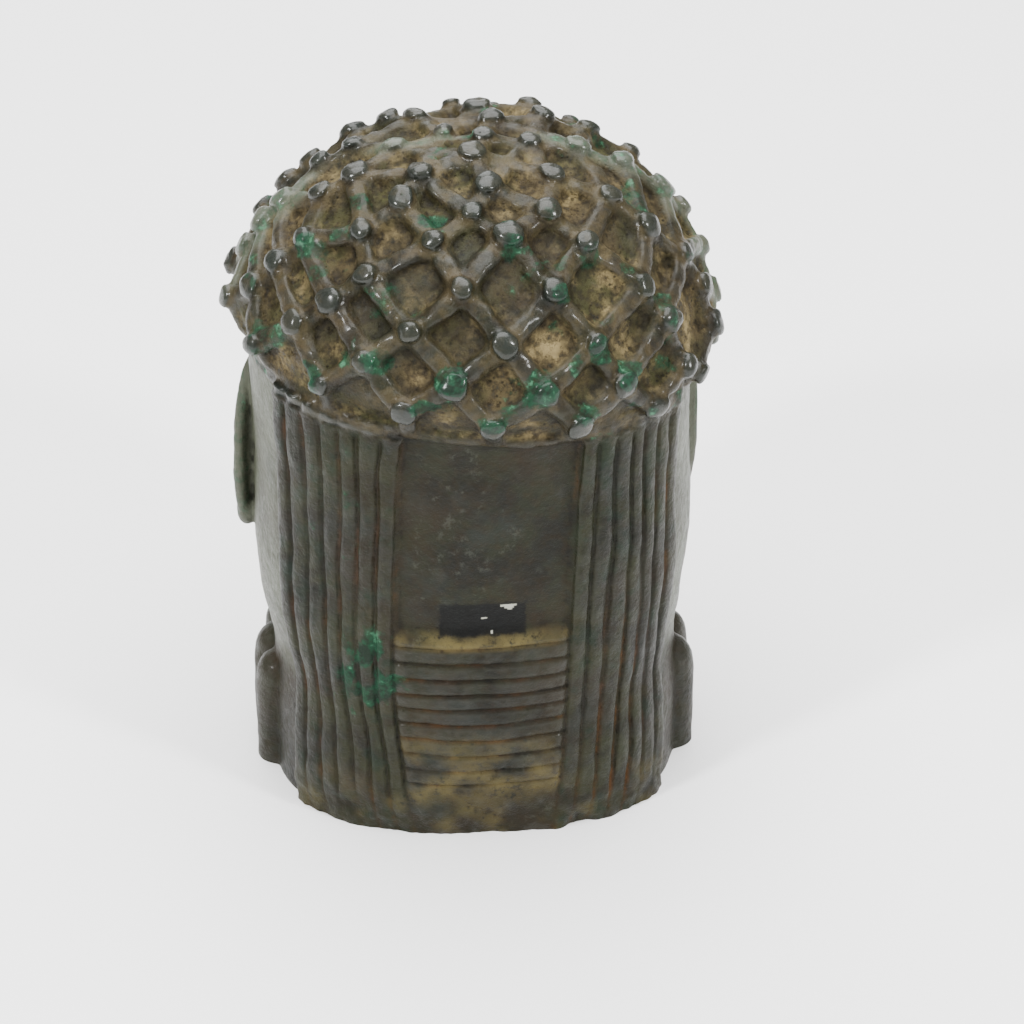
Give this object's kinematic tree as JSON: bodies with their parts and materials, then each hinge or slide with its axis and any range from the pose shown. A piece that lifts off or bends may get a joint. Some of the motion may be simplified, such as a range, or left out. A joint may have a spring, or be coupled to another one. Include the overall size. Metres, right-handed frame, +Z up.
{
  "type": "bronze commemorative head",
  "caption": "Bronze head on a flat base, with a domed cap of knotted diamond net, hanging ribbed strips behind and a banded collar.",
  "frame": {"origin": "middle of the flat underside, on the ground", "axes": "+Z up, the face looks toward -Y and the back with its ribbed strips toward +Y, +X toward the head's own left"},
  "size_m": [0.1976, 0.2024, 0.2761],
  "materials": {
    "bronze": "dark patinated cast bronze with green and earth-coloured deposits"
  },
  "bodies": {
    "root": {"commemorative_head": "bronze"}
  },
  "joints": []
}
